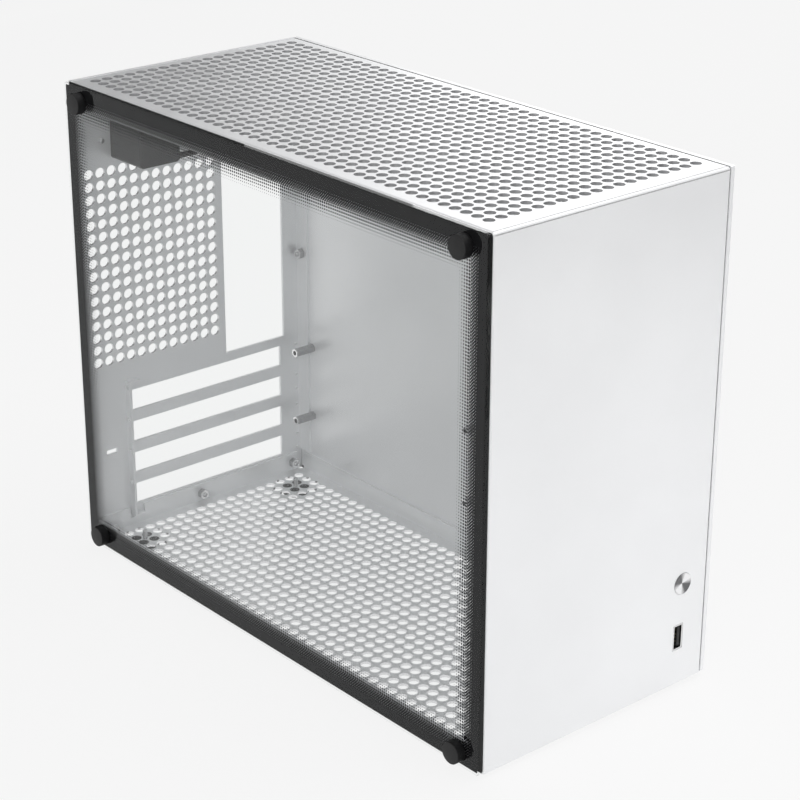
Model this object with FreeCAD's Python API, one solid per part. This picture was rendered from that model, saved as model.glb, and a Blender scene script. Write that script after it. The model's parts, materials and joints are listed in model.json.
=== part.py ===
"""Small desktop computer case: a folded, perforated sheet body with a printed glass side.

Sizes are in millimetres. While a piece is made, x runs from the outer face of the glass to the
plain side plate, y from the front to the rear and z up from the underside of the floor. PLACE
then moves every piece so that the origin is under the middle of the whole case, on the ground.
Vent openings, screws, nuts, feet and the button are many-sided, so that small pieces have few faces.
"""
import FreeCAD, Part
import math
import os

os.makedirs("parts", exist_ok=True)
V = FreeCAD.Vector
X, Y, Z = V(1, 0, 0), V(0, 1, 0), V(0, 0, 1)

# Body
WIDTH = 163.0            # over the glass and the side plate
DEPTH = 345.4            # over the front and the rear plate
HEIGHT = 280.6           # without the feet
SHEET = 1.5              # thickness of the folded sheets and the rear plate
BEND = 1.6               # outer radius of a fold
GLASS = 3.0              # thickness of the glass
GLASS_GAP = 0.1          # print and sealing film behind the glass
SIDE = 2.5               # thickness of the side plate, which is also the board tray
GLASS_CORNER = 2.0       # corner radius of the glass
SIDE_CORNER = 0.6        # corner radius of the side plate
TOP_FLANGE = 14.0        # depth of the top's turned-down edges
FRONT_FLANGE = 10.0      # depth of the front's turned-in edges
FLOOR_FLANGE = 12.5      # height of the floor's turned-up edges
REAR_FLANGE = 10.0       # depth of the rear plate's turned-in edge
FLANGE_GAP = 1.5         # space between the ends of two flanges
RELIEF = 4.0             # corner notch where two flanges of the floor would meet
PAST = 1.0               # how far a cut runs past the sheet

# Perforated fields on the real square grid. One six-sided opening stands for a block of round holes.
PITCH = 7.62
HOLE_R = 3.0
BLOCK_HOLE_COUNT = (3, 3.5)  # holes in a block along the field's two axes, left-over ones shared out
OPENING_SIDE_COUNT = 6
TOP_SHIFT = (0.7, 2.9)       # middle of the field off the middle of the sheet, along x and y
TOP_MARGIN = (9.0, 10.0)     # least distance of hole centres from the edges, without the shift
FLOOR_SHIFT = (2.8, 0.1)
FLOOR_MARGIN = (12.0, 10.5)
REAR_FIELD_LEFT = 6.0    # least distance of hole centres from the glass
REAR_FIELD_RIGHT = 7.95  # last column to the connector aperture
REAR_FIELD_UP = 16.7     # first row above the aperture's lower edge
REAR_FIELD_TOP = 3.8     # least distance of hole centres below the inlet

# Main board and rear openings, from the standard layout of such boards
BOARD_DROP = 29.3        # upper edge of the board below the top
BOARD_ROWS = (10.16, 33.02, 165.1, 210.82)   # screw rows below the board's upper edge
BOARD_COLUMNS = (0.0, 157.48, 227.33)        # screw columns in front of the rear one
BOARD_REAR = 12.7        # rear screw column to the rear plate
STANDOFF = 14.1          # length of a standoff
STANDOFF_R = 2.9         # over its corners
STANDOFF_BORE_R = 1.5
STANDOFF_BORE_DEPTH = 9.0
ROW_CLEAR = 5.0          # least height of a standoff above the floor's flange
APERTURE = (44.45, 158.75)   # connector aperture, along x and z
APERTURE_RISE = 7.4      # its lower edge above the third screw row
APERTURE_UNDER = 1.6     # how far it reaches behind the board's underside
SLOT = (114.2, 13.06)    # expansion slot, along x and z
SLOT_PITCH = 20.32
SLOT_COUNT = 4
SLOT_DROP = 5.85         # first slot below the aperture
SLOT_INSET = 3.2         # slot ends before the aperture's edge
SLOT_CLEAR = 1.2         # least height of a slot above the floor's flange
TONGUE = (1.8, 2.0)      # three-cornered opening beside a bracket tongue, along x and z
TONGUE_SPREAD = 9.2      # between the two openings of one slot
TONGUE_INSET = 2.3       # their straight side before the flange's inner face
RAIL_DEPTH = 5.0         # rail for the bracket screws, out from the rear plate
RAIL_END = 7.5           # length of the folded ends of the rail
RAIL_ABOVE = 7.6         # rail above the first slot
RAIL_BELOW = 6.4         # rail below the last slot
RAIL_SCREW_R = 1.45
RAIL_SCREW_UP = 3.6      # bracket screw above the upper edge of its slot
LOCK_SLOT = (7.4, 3.0)   # slot for a cable lock, along x and z
LOCK_SLOT_AT = (14.7, 52.3)  # its middle from the plate's edge and above the underside

# Fasteners
SCREW_SIDE_COUNT = 6     # hexagon screws and nuts, and the holes for them
TUBE_SIDE_COUNT = 10     # holes in the glass, recesses of the feet, wiring sleeve
ROUND_SIDE_COUNT = 18    # thumb screw heads and feet
M3_R = 1.5
M3_HOLE_R = 1.7
M3_FLAT_R = 2.9          # countersunk head
M3_FLAT_H = 1.4
M3_HEAD_R = 3.0
M3_HEAD_H = 1.8
NUT_R = 3.2              # clinch nut
NUT_H = 3.5
TIP = 1.0                # screw end past its nut
REAR_SCREW_FLOOR = 6.6   # rear plate screws above the underside
REAR_SCREW_TOP = 8.0     # rear plate screws below the top
REAR_SCREW_SIDE = 6.0    # outer rear plate screws from the plate's edge
REAR_SCREW_PITCH = 71.4
SIDE_SCREW_Z = 147.0     # side plate screws on the upright flanges
SIDE_SCREW_TOP = 8.0     # side plate screws below the top
SIDE_SCREW_FLOOR = 7.0   # side plate screws above the underside
KNOB_R = 6.0             # thumb screw head
KNOB_H = 5.2
KNOB_EDGE = 0.35
KNOB_SHANK_R = 2.0
KNOB_HOLE_R = 2.6        # hole in the glass
KNOB_FLANGE_HOLE_R = 2.2
KNOB_INSET_Y = 15.5      # thumb screws from the front and rear edges of the glass
KNOB_INSET_TOP = 9.0
KNOB_INSET_FLOOR = 8.4
KNOB_NUT_R = 3.8
KNOB_NUT_H = 5.0

# Feet
FOOT_H = 3.0
FOOT_TOP_R = 8.5
FOOT_BASE_R = 8.1
FOOT_RECESS_R = 4.2
FOOT_RECESS_H = 2.1
FOOT_SCREW_UP = 5.6      # screw end above the floor sheet

# Power button and data port on the front
BUTTON_SIDE = 18.1       # middle of the button from the side plate
BUTTON_Z = 58.9
BUTTON_R = 6.0
BUTTON_SIDE_COUNT = 32
BUTTON_CLEAR = 0.2
BUTTON_PROUD = 0.4
BUTTON_DISH = 0.9        # depth of the hollow in its face
BUTTON_EYE_R = 0.4       # flat at the bottom of the hollow
BUTTON_RIM = 0.6         # flat rim round the hollow
BUTTON_COLLAR_R = 7.0
BUTTON_COLLAR_T = 2.0
BUTTON_TRAVEL = 1.2
SEAT_GAP = 0.1           # collar to the sheet when the button is out
SWITCH = (18.0, 15.0)    # switch housing, along x and z alike, and along y
SWITCH_CLEAR = 0.4       # round the button's collar
SWITCH_BLADE = (0.8, 6.0, 2.4)   # terminal blade, along x, y and z
SWITCH_BLADE_SPREAD = 9.0
PORT_SIDE = 19.6         # middle of the port from the side plate
PORT_Z = 27.9
PORT = (6.9, 14.5)       # outside of the port's metal shell, along x and z
PORT_WALL = 0.7
PORT_CLEAR = 0.2
PORT_L = 14.0
PORT_MOUTH = 9.2         # depth of the open mouth
PORT_BAR = (1.9, 11.1)   # plastic tongue in the mouth, along x and z
PORT_BAR_BACK = 0.8      # tongue behind the port's face
PORT_BAR_OFF = 1.2       # tongue off the middle, towards the small board
BOARD_T = 1.6            # small board that carries the port
BOARD_L = 27.0
BOARD_BACK = 1.4         # small board behind the front sheet
BOARD_SPARE = 8.0        # small board above and below the port
BRACKET_T = 1.2
BRACKET_FOOT = 9.0
PORT_SCREW_BACK = 4.5    # screws from the small board's rear edge
PORT_SCREW_END = 4.0     # screws from its upper and lower edges
PORT_SCREW_R = 1.2
PORT_SCREW_HEAD_R = 2.2
PORT_SCREW_HEAD_H = 1.5

# Mains inlet on the rear plate
INLET_SIDE = 38.0        # middle of the inlet from the plate's edge
INLET_DROP = 37.3        # and below the top
INLET = (27.0, 23.4)     # moulded block, along x and z
INLET_BEVEL = 1.6
INLET_CLEAR = 0.2
INLET_L = 29.0           # block inside the rear plate
INLET_FLANGE = (50.0, 27.0)
INLET_FLANGE_R = 6.0
INLET_LIP = 3.0          # flange outside the rear plate
INLET_MOUTH = (24.2, 16.6)
INLET_MOUTH_CUT = 5.0    # slanted lower corners of the mouth
INLET_MOUTH_L = 17.5
INLET_SCREW_PITCH = 40.0
INLET_SCREW_TIP = 2.0
PIN = (2.0, 4.0)         # contact blade, along x and z
PIN_L = 15.5
PIN_SPREAD = 7.0         # outer blades from the middle
PIN_OFF = 2.0            # blades above and below the middle
SLEEVE_R = (3.4, 3.0)    # wiring sleeve on the side of the block, root and end
SLEEVE_L = 16.0
SLEEVE_AT = (3.6, 3.5)   # sleeve axis above the block's underside and behind its inner face

# Derived places
X0 = GLASS + GLASS_GAP
X1 = WIDTH - SIDE
Y1 = DEPTH - SHEET
PLACE = V(-(WIDTH - KNOB_H) / 2, -(DEPTH + INLET_LIP - BUTTON_PROUD) / 2, FOOT_H)
ROWS = [HEIGHT - BOARD_DROP - row for row in BOARD_ROWS]
BOARD_Y = Y1 - BOARD_REAR
APERTURE_X1 = X1 - STANDOFF + APERTURE_UNDER
APERTURE_X0 = APERTURE_X1 - APERTURE[0]
APERTURE_Z0 = ROWS[2] + APERTURE_RISE
SLOT_X1 = APERTURE_X1 - SLOT_INSET
SLOT_X0 = SLOT_X1 - SLOT[0]
SLOT_TOPS = [APERTURE_Z0 - SLOT_DROP - n * SLOT_PITCH for n in range(SLOT_COUNT)]
SLOT_TOPS = [z for z in SLOT_TOPS if z - SLOT[1] >= FLOOR_FLANGE + SLOT_CLEAR]
RAIL_X0 = SLOT_X0 - SHEET
RAIL_Z0 = SLOT_TOPS[-1] - SLOT[1] - RAIL_BELOW
RAIL_Z1 = SLOT_TOPS[0] + RAIL_ABOVE
BUTTON_X = X1 - BUTTON_SIDE
PORT_X = X1 - PORT_SIDE
INLET_X = X0 + INLET_SIDE
INLET_Z = HEIGHT - INLET_DROP
BOARD_X = PORT_X + PORT[0] / 2
BOARD_END = SHEET + BOARD_BACK + BOARD_L
BOARD_Z = (PORT_Z - PORT[1] / 2 - BOARD_SPARE, PORT_Z + PORT[1] / 2 + BOARD_SPARE)


def grid(low, high, margin, shift):
    """Middles of a row of holes between two edges, moved off the middle."""
    count = int((high - low - 2 * margin) / PITCH) + 1
    first = (low + high) / 2 + shift - (count - 1) * PITCH / 2
    return [first + n * PITCH for n in range(count)]


# Places that several pieces share
TOP_XS = grid(X0, X1, TOP_MARGIN[0], TOP_SHIFT[0])
TOP_YS = grid(0, Y1, TOP_MARGIN[1], TOP_SHIFT[1])
FLOOR_XS = grid(X0, X1, FLOOR_MARGIN[0], FLOOR_SHIFT[0])
FLOOR_YS = grid(SHEET, Y1, FLOOR_MARGIN[1], FLOOR_SHIFT[1])
KNOB_YS = (KNOB_INSET_Y, DEPTH - KNOB_INSET_Y)
TOP_KNOBS = [(y, HEIGHT - KNOB_INSET_TOP) for y in KNOB_YS]
FLOOR_KNOBS = [(y, KNOB_INSET_FLOOR) for y in KNOB_YS]
KNOBS = TOP_KNOBS + FLOOR_KNOBS
REAR_SCREW_XS = [
    X0 + REAR_SCREW_SIDE + n * REAR_SCREW_PITCH
    for n in range(int((X1 - X0 - REAR_SCREW_SIDE - NUT_R) / REAR_SCREW_PITCH) + 1)
]
FLOOR_REAR_SCREWS = [(x, REAR_SCREW_FLOOR) for x in REAR_SCREW_XS]
TOP_REAR_SCREWS = [(x, HEIGHT - REAR_SCREW_TOP) for x in REAR_SCREW_XS]
REAR_SCREWS = FLOOR_REAR_SCREWS + TOP_REAR_SCREWS
FRONT_SIDE_SCREW = ((FRONT_FLANGE + BEND) / 2, SIDE_SCREW_Z)
REAR_SIDE_SCREW = (Y1 - REAR_FLANGE / 2, SIDE_SCREW_Z)
TOP_SIDE_SCREW = (DEPTH / 2, HEIGHT - SIDE_SCREW_TOP)
FLOOR_SIDE_SCREW = (DEPTH / 2, SIDE_SCREW_FLOOR)
SIDE_SCREWS = [FRONT_SIDE_SCREW, REAR_SIDE_SCREW, TOP_SIDE_SCREW, FLOOR_SIDE_SCREW]
STANDOFFS = [(BOARD_Y - column, row) for column in BOARD_COLUMNS for row in ROWS[2:]]
STANDOFFS += [(BOARD_Y, ROWS[1])] + [(BOARD_Y - column, ROWS[0]) for column in BOARD_COLUMNS[1:]]
STANDOFFS = [(y, z) for y, z in STANDOFFS if z > FLOOR_FLANGE + ROW_CLEAR]
FEET_XS = (FLOOR_XS[0] + PITCH / 2, FLOOR_XS[-2] - PITCH / 2)
FEET_YS = (FLOOR_YS[1] + PITCH / 2, FLOOR_YS[-2] - PITCH / 2)
FEET = [(x, y) for x in FEET_XS for y in FEET_YS]
INLET_SCREW_XS = (INLET_X - INLET_SCREW_PITCH / 2, INLET_X + INLET_SCREW_PITCH / 2)
INLET_SCREW_L = INLET_LIP + SHEET + INLET_SCREW_TIP
SIDE_SCREW_L = SIDE + SHEET + NUT_H + TIP
REAR_SCREW_L = 2 * SHEET + NUT_H + TIP
PORT_SCREWS = [
    (BOARD_END - PORT_SCREW_BACK, z) for z in (BOARD_Z[0] + PORT_SCREW_END, BOARD_Z[1] - PORT_SCREW_END)
]


def box(x0, x1, y0, y1, z0, z1):
    return Part.makeBox(x1 - x0, y1 - y0, z1 - z0, V(x0, y0, z0))


def middle_box(x, z, size, y0, y1, grow=0.0):
    """Box along y, centred at x and z, with its two sizes grown by a clearance all round."""
    half = [s / 2 + grow for s in size]
    return box(x - half[0], x + half[0], y0, y1, z - half[1], z + half[1])


def ring(at, axis, radius, sides):
    """Corners of a polygon round an axis."""
    first = Z if abs(axis.z) < 0.5 else Y
    second = axis.cross(first)
    turns = [2 * math.pi * n / sides for n in range(sides)]
    return [at + first * (radius * math.cos(t)) + second * (radius * math.sin(t)) for t in turns]


def face(corners):
    return Part.Face(Part.makePolygon(corners + corners[:1]))


def prism(at, axis, radius, length, sides=SCREW_SIDE_COUNT):
    return face(ring(at, axis, radius, sides)).extrude(axis * length)


def faceted(at, axis, stations, sides):
    """Many-sided solid with flat faces through (radius, distance along the axis) stations."""
    rings = [ring(at + axis * along, axis, radius, sides) for radius, along in stations]
    faces = [face(rings[0]), face(rings[-1])]
    for low, high in zip(rings, rings[1:]):
        faces += [face([low[n - 1], low[n], high[n], high[n - 1]]) for n in range(sides)]
    return Part.makeSolid(Part.makeShell(faces))


def through(at, axis, radius):
    """Cutter for a screw hole through a sheet, from the sheet's near face."""
    return prism(at - axis * PAST, axis, radius, SHEET + 2 * PAST)


def cut_all(solid, cutters):
    return solid.cut(Part.makeCompound(cutters))


def edges_at(solid, *places):
    """Edges whose middle has the given coordinates; None matches any."""
    found = []
    for edge in solid.Edges:
        for place in places:
            wanted = [(m, p) for m, p in zip(edge.CenterOfMass, place) if p is not None]
            if all(abs(m - p) < 1e-6 for m, p in wanted):
                found.append(edge)
    return found


def folded(outer_sides, inner_sides, fold_places):
    """Sheet tray: a box with rounded folds, hollowed by a second box."""
    outer = box(*outer_sides)
    outer = outer.makeFillet(BEND, edges_at(outer, *fold_places(*outer_sides)))
    return outer.cut(box(*inner_sides))


def side_panel(x0, x1, radius):
    """Flat side panel with rounded corners."""
    panel = box(x0, x1, 0, DEPTH, 0, HEIGHT)
    corners = [(None, y, z) for y in (0, DEPTH) for z in (0, HEIGHT)]
    return panel.makeFillet(radius, edges_at(panel, *corners))


def spread(row, block):
    """Middles of the openings that stand for a row of holes, evenly over the row's length."""
    count = int(len(row) / block)
    step = len(row) * PITCH / count
    return [row[0] + (step - PITCH) / 2 + n * step for n in range(count)]


def vent_field(first, second):
    """Middles of the openings of a field, and the radius that keeps the open area of its holes."""
    rows = spread(first, BLOCK_HOLE_COUNT[0]), spread(second, BLOCK_HOLE_COUNT[1])
    places = [(a, b) for a in rows[0] for b in rows[1]]
    holes_area = math.pi * HOLE_R ** 2 * len(first) * len(second) / len(places)
    corner_turn = 2 * math.pi / OPENING_SIDE_COUNT
    return places, math.sqrt(2 * holes_area / (OPENING_SIDE_COUNT * math.sin(corner_turn)))


def vent_cuts(centres, axis, radius):
    return [prism(c - axis * PAST, axis, radius, SHEET + 2 * PAST, OPENING_SIDE_COUNT) for c in centres]


def export(node, *solids):
    shape = solids[0].copy() if len(solids) == 1 else Part.makeCompound([s.copy() for s in solids])
    shape.translate(PLACE)
    shape.exportStep("parts/%s.step" % node)


def front_top_shell():
    """Front and top, folded from one sheet, with turned edges that carry the other panels."""
    def folds(x0, x1, y0, y1, z0, z1):
        sides = [(x, None, z1) for x in (x0, x1)] + [(x, y0, None) for x in (x0, x1)]
        return sides + [(None, y, z1) for y in (y0, y1)]

    outer = (X0, X1, 0, Y1, 0, HEIGHT)
    inner = (X0 + SHEET, X1 - SHEET, SHEET, Y1 - SHEET, -PAST, HEIGHT - SHEET)
    shell = folded(outer, inner, folds)
    shell = shell.cut(box(X0 - PAST, X1 + PAST, FRONT_FLANGE, DEPTH, -PAST, HEIGHT - TOP_FLANGE))
    shell = shell.cut(box(X0 - PAST, X1 + PAST, BEND, DEPTH, -PAST, FLOOR_FLANGE + FLANGE_GAP))
    cuts = [through(V(X0, y, z), X, KNOB_FLANGE_HOLE_R) for y, z in TOP_KNOBS]
    cuts += [through(V(X1 - SHEET, y, z), X, M3_HOLE_R) for y, z in (FRONT_SIDE_SCREW, TOP_SIDE_SCREW)]
    cuts += [through(V(x, Y1 - SHEET, z), Y, M3_HOLE_R) for x, z in TOP_REAR_SCREWS]
    button = V(BUTTON_X, -PAST, BUTTON_Z)
    cuts.append(prism(button, Y, BUTTON_R + BUTTON_CLEAR, SHEET + 2 * PAST, BUTTON_SIDE_COUNT))
    cuts.append(middle_box(PORT_X, PORT_Z, PORT, -PAST, SHEET + PAST, PORT_CLEAR))
    places, radius = vent_field(TOP_XS, TOP_YS)
    vents = [V(x, y, HEIGHT - SHEET) for x, y in places]
    return cut_all(shell, cuts + vent_cuts(vents, Z, radius))


def floor_panel():
    """Perforated floor with an edge turned up on each side."""
    def folds(x0, x1, y0, y1, z0, z1):
        return [(x, None, z0) for x in (x0, x1)] + [(None, y, z0) for y in (y0, y1)]

    outer = (X0, X1, SHEET, Y1, 0, FLOOR_FLANGE)
    inner = (X0 + SHEET, X1 - SHEET, 2 * SHEET, Y1 - SHEET, SHEET, FLOOR_FLANGE + PAST)
    floor = folded(outer, inner, folds)
    for x in (X0, X1 - RELIEF):
        for y in (SHEET, Y1 - RELIEF):
            floor = floor.cut(box(x, x + RELIEF, y, y + RELIEF, -PAST, FLOOR_FLANGE + PAST))
    notch_z = min(RAIL_Z0 - FLANGE_GAP, FLOOR_FLANGE)
    notch_x = RAIL_X0 - FLANGE_GAP, RAIL_X0 + RAIL_END + FLANGE_GAP
    floor = floor.cut(box(*notch_x, Y1 - RELIEF, DEPTH, notch_z, FLOOR_FLANGE + PAST))
    cuts = [through(V(X0, y, z), X, KNOB_FLANGE_HOLE_R) for y, z in FLOOR_KNOBS]
    cuts += [through(V(X1 - SHEET, y, z), X, M3_HOLE_R) for y, z in (FLOOR_SIDE_SCREW,)]
    cuts += [through(V(x, Y1 - SHEET, z), Y, M3_HOLE_R) for x, z in FLOOR_REAR_SCREWS]
    cuts += [through(V(x, y, 0), Z, M3_R) for x, y in FEET]
    places, radius = vent_field(FLOOR_XS, FLOOR_YS)
    clear = FOOT_TOP_R + radius
    vents = [V(x, y, 0) for x, y in places if min(math.dist((x, y), foot) for foot in FEET) > clear]
    return cut_all(floor, cuts + vent_cuts(vents, Z, radius))


def rear_panel():
    """Rear plate with the connector aperture, expansion slots, vent field and inlet cut-out."""
    flange_y = Y1 - REAR_FLANGE
    plate = box(X0, X1, flange_y, DEPTH, 0, HEIGHT)
    plate = plate.makeFillet(BEND, edges_at(plate, (X1, DEPTH, None)))
    plate = plate.cut(box(X0 - PAST, X1 - SHEET, flange_y - PAST, Y1, -PAST, HEIGHT + PAST))
    flange_ends = ((-PAST, FLOOR_FLANGE + FLANGE_GAP), (HEIGHT - TOP_FLANGE - FLANGE_GAP, HEIGHT + PAST))
    for z0, z1 in flange_ends:
        plate = plate.cut(box(X0 - PAST, X1 + PAST, flange_y - PAST, Y1, z0, z1))
    plate = plate.fuse(screw_rail()).removeSplitter()
    cuts = [box(APERTURE_X0, APERTURE_X1, Y1 - PAST, DEPTH + PAST, APERTURE_Z0, APERTURE_Z0 + APERTURE[1])]
    for z in SLOT_TOPS:
        cuts.append(box(SLOT_X0, SLOT_X1, Y1 - PAST, DEPTH + PAST, z - SLOT[1], z))
        cuts += [tongue_opening(z - SLOT[1] / 2 + side * TONGUE_SPREAD / 2) for side in (-1, 1)]
    cuts.append(middle_box(X0 + LOCK_SLOT_AT[0], LOCK_SLOT_AT[1], LOCK_SLOT, Y1 - PAST, DEPTH + PAST))
    cuts.append(inlet_block(Y1 - PAST, DEPTH + PAST, INLET_CLEAR))
    cuts += [through(V(x, Y1, INLET_Z), Y, M3_R) for x in INLET_SCREW_XS]
    cuts += [through(V(x, Y1, z), Y, M3_HOLE_R) for x, z in REAR_SCREWS]
    cuts += [through(V(X1 - SHEET, y, z), X, M3_HOLE_R) for y, z in (REAR_SIDE_SCREW,)]
    return cut_all(plate, cuts + rear_vents())


def rear_vents():
    right = APERTURE_X0 - REAR_FIELD_RIGHT
    low = APERTURE_Z0 + REAR_FIELD_UP
    columns = int((right - X0 - REAR_FIELD_LEFT) / PITCH) + 1
    rows = int((INLET_Z - INLET[1] / 2 - REAR_FIELD_TOP - low) / PITCH) + 1
    xs = [right - (columns - 1 - n) * PITCH for n in range(columns)]
    zs = [low + n * PITCH for n in range(rows)]
    places, radius = vent_field(xs, zs)
    return vent_cuts([V(x, Y1, z) for x, z in places], Y, radius)


def screw_rail():
    """Rail for the bracket screws, folded out of the rear plate beside the slots."""
    y = Y1 - RAIL_DEPTH
    rail = box(RAIL_X0, SLOT_X0, y, Y1, RAIL_Z0, RAIL_Z1)
    for z in (RAIL_Z0, RAIL_Z1 - SHEET):
        rail = rail.fuse(box(RAIL_X0, RAIL_X0 + RAIL_END, y, Y1, z, z + SHEET))
    holes = [V(RAIL_X0 - PAST, Y1 - RAIL_DEPTH / 2, z + RAIL_SCREW_UP) for z in SLOT_TOPS]
    return cut_all(rail, [Part.makeCylinder(RAIL_SCREW_R, SHEET + 2 * PAST, hole, X) for hole in holes])


def tongue_opening(z):
    """Three-cornered opening in the rear plate, pointing at the flange."""
    x = X1 - SHEET - TONGUE_INSET
    y = Y1 - PAST
    corners = [V(x, y, z - TONGUE[1] / 2), V(x + TONGUE[0], y, z), V(x, y, z + TONGUE[1] / 2)]
    return face(corners).extrude(Y * (SHEET + 2 * PAST))


def right_side_panel():
    """Plain side plate, countersunk for its screws."""
    panel = side_panel(X1, WIDTH, SIDE_CORNER)
    cuts = [prism(V(X1 - PAST, y, z), X, M3_HOLE_R, SIDE) for y, z in SIDE_SCREWS]
    cuts += [flat_head(V(WIDTH, y, z), -X) for y, z in SIDE_SCREWS]
    return cut_all(panel, cuts)


def glass_panel():
    cuts = [prism(V(-PAST, y, z), X, KNOB_HOLE_R, GLASS + 2 * PAST, TUBE_SIDE_COUNT) for y, z in KNOBS]
    return cut_all(side_panel(0, GLASS, GLASS_CORNER), cuts)


def thumb_screw(y, z):
    at = V(-KNOB_H, y, z)
    rim = KNOB_R - KNOB_EDGE
    stations = [(rim, 0), (KNOB_R, KNOB_EDGE), (KNOB_R, KNOB_H - KNOB_EDGE), (rim, KNOB_H)]
    shank = KNOB_H + X0 + SHEET + KNOB_NUT_H
    return faceted(at, X, stations, ROUND_SIDE_COUNT).fuse(prism(at, X, KNOB_SHANK_R, shank))


def nut(at, axis, radius, length, bore_radius):
    return prism(at, axis, radius, length).cut(prism(at, axis, bore_radius, length))


def flat_head(at, axis):
    return faceted(at, axis, [(M3_FLAT_R, 0), (M3_R, M3_FLAT_H)], SCREW_SIDE_COUNT)


def flat_screw(at, axis, length):
    """Countersunk screw whose head lies flush at the given place."""
    return flat_head(at, axis).fuse(prism(at, axis, M3_R, length)).removeSplitter()


def hexagon_screw(at, axis, length, radius=M3_R, head_radius=M3_HEAD_R, head=M3_HEAD_H):
    """Screw whose head stands on the given face."""
    whole = prism(at - axis * head, axis, radius, head + length)
    return whole.fuse(prism(at - axis * head, axis, head_radius, head)).removeSplitter()


def standoff(y, z):
    end = V(X1 - STANDOFF, y, z)
    post = prism(end, X, STANDOFF_R, STANDOFF)
    return post.cut(Part.makeCylinder(STANDOFF_BORE_R, STANDOFF_BORE_DEPTH, end, X))


def foot(x, y):
    at = V(x, y, -FOOT_H)
    body = faceted(at, Z, [(FOOT_BASE_R, 0), (FOOT_TOP_R, FOOT_H)], ROUND_SIDE_COUNT)
    recess = prism(at, Z, FOOT_RECESS_R, FOOT_RECESS_H, TUBE_SIDE_COUNT)
    return body.cut(recess).cut(prism(at, Z, M3_R, FOOT_H))


def foot_screw(x, y):
    length = FOOT_H - FOOT_RECESS_H + SHEET + FOOT_SCREW_UP
    return hexagon_screw(V(x, y, FOOT_RECESS_H - FOOT_H), Z, length)


def power_button():
    """Cap with a shallow hollow in its face and a collar behind the sheet."""
    at = V(BUTTON_X, -BUTTON_PROUD, BUTTON_Z)
    collar = BUTTON_PROUD + SHEET + SEAT_GAP
    back = collar + BUTTON_COLLAR_T
    stations = [(BUTTON_R, 0), (BUTTON_R, collar), (BUTTON_COLLAR_R, collar), (BUTTON_COLLAR_R, back)]
    dish = [(BUTTON_R - BUTTON_RIM, 0), (BUTTON_EYE_R, BUTTON_DISH)]
    cap = faceted(at, Y, stations, BUTTON_SIDE_COUNT)
    return cap.cut(faceted(at, Y, dish, BUTTON_SIDE_COUNT))


def power_switch_body():
    """Housing behind the front sheet that guides the button, with two terminal blades."""
    back = SHEET + SWITCH[1]
    body = middle_box(BUTTON_X, BUTTON_Z, (SWITCH[0], SWITCH[0]), SHEET, back)
    hollow = SEAT_GAP + BUTTON_COLLAR_T + BUTTON_TRAVEL + SWITCH_CLEAR
    seat = V(BUTTON_X, SHEET, BUTTON_Z)
    body = body.cut(prism(seat, Y, BUTTON_COLLAR_R + SWITCH_CLEAR, hollow, BUTTON_SIDE_COUNT))
    for side in (-1, 1):
        x = BUTTON_X + side * SWITCH_BLADE_SPREAD / 2
        size = SWITCH_BLADE[0], SWITCH_BLADE[2]
        body = body.fuse(middle_box(x, BUTTON_Z, size, back, back + SWITCH_BLADE[1]))
    return body


def usb_shell():
    tube = middle_box(PORT_X, PORT_Z, PORT, 0, PORT_L)
    return tube.cut(middle_box(PORT_X, PORT_Z, PORT, -PAST, PORT_L + PAST, -PORT_WALL))


def usb_insulator():
    """Plastic block at the back of the port, with the contact tongue standing forward."""
    block = middle_box(PORT_X, PORT_Z, PORT, PORT_MOUTH, PORT_L, -PORT_WALL)
    bar = middle_box(PORT_X + PORT_BAR_OFF, PORT_Z, PORT_BAR, PORT_BAR_BACK, PORT_L)
    return block.fuse(bar).removeSplitter()


def port_screw_cuts(x, length):
    return [prism(V(x - PAST, y, z), X, PORT_SCREW_R, length + 2 * PAST) for y, z in PORT_SCREWS]


def front_io_board():
    board = box(BOARD_X, BOARD_X + BOARD_T, SHEET + BOARD_BACK, BOARD_END, *BOARD_Z)
    return cut_all(board, port_screw_cuts(BOARD_X, BOARD_T))


def front_io_bracket():
    """Angle that holds the small board behind the front sheet."""
    x = BOARD_X + BOARD_T
    leg = box(x, x + BRACKET_T, SHEET, BOARD_END, *BOARD_Z)
    foot_plate = box(x, x + BRACKET_FOOT, SHEET, SHEET + BRACKET_T, *BOARD_Z)
    return cut_all(leg.fuse(foot_plate).removeSplitter(), port_screw_cuts(x, BRACKET_T))


def port_screw(y, z):
    length = BOARD_T + BRACKET_T + TIP
    return hexagon_screw(V(BOARD_X, y, z), X, length, PORT_SCREW_R, PORT_SCREW_HEAD_R, PORT_SCREW_HEAD_H)


def inlet_block(y0, y1, grow=0.0):
    block = middle_box(INLET_X, INLET_Z, INLET, y0, y1, grow)
    return block.makeChamfer(INLET_BEVEL, [e for e in block.Edges if abs(e.tangentAt(0).y) > 0.5])


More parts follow.
